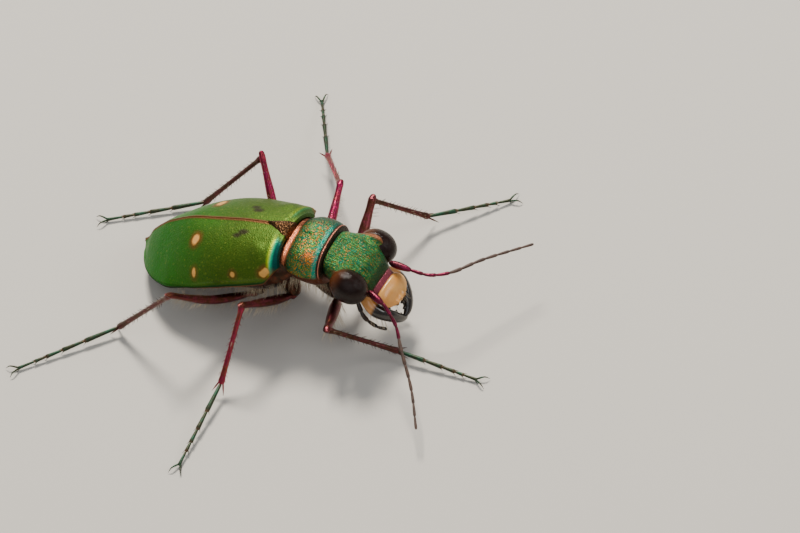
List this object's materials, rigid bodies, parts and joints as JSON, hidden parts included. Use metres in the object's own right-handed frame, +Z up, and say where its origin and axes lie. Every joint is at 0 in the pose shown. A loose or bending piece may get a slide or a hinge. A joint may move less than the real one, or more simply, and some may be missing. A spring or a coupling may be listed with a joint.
{
  "type": "green tiger beetle",
  "caption": "Life-size still model of a green tiger beetle standing on its six feet, with raised head, long legs and spread antennae.",
  "frame": {"origin": "on the floor, under the middle of the whole animal's box", "axes": "+X the way the trunk points, +Y the beetle's left, +Z up"},
  "size_m": [0.0204, 0.0214, 0.0046],
  "materials": {
    "wing_case": "satin leaf green with a fine grain, coppery at the seam and margins, small cream spots",
    "thorax_shell": "coarsely grained metallic green with gold and copper glints",
    "head_shell": "finely grooved metallic green with coppery eye rims",
    "eye": "glossy dark brown",
    "upper_lip": "smooth cream to orange",
    "jaw": "glossy black, cream at the jaw's base",
    "antenna_base": "metallic magenta",
    "antenna": "dull brown, magenta near the base",
    "underside": "dark coppery green with white hairs",
    "femur": "metallic magenta with green lights and white hairs",
    "tibia": "metallic coppery pink, darker to the foot",
    "tarsus": "dark greenish brown"
  },
  "bodies": {
    "root": {"head": "head_shell", "eye_left": "eye", "eye_right": "eye", "labrum": "upper_lip", "mandible_left": "jaw", "mandible_right": "jaw", "maxillary_palp_left": "jaw", "maxillary_palp_right": "jaw", "labial_palp_left": "jaw", "labial_palp_right": "jaw", "antenna_scape_left": "antenna_base", "antenna_scape_right": "antenna_base", "antenna_left": "antenna", "antenna_right": "antenna", "prothorax": "thorax_shell", "pterothorax": "underside", "abdomen": "underside", "scutellum": "thorax_shell", "elytron_left": "wing_case", "elytron_right": "wing_case", "coxa_front_left": "underside", "coxa_front_right": "underside", "coxa_mid_left": "underside", "coxa_mid_right": "underside", "coxa_hind_left": "underside", "coxa_hind_right": "underside", "femur_front_left": "femur", "femur_front_right": "femur", "femur_mid_left": "femur", "femur_mid_right": "femur", "femur_hind_left": "femur", "femur_hind_right": "femur", "tibia_front_left": "tibia", "tibia_front_right": "tibia", "tibia_mid_left": "tibia", "tibia_mid_right": "tibia", "tibia_hind_left": "tibia", "tibia_hind_right": "tibia", "tarsus_front_left": "tarsus", "tarsus_front_right": "tarsus", "tarsus_mid_left": "tarsus", "tarsus_mid_right": "tarsus", "tarsus_hind_left": "tarsus", "tarsus_hind_right": "tarsus"}
  },
  "joints": []
}
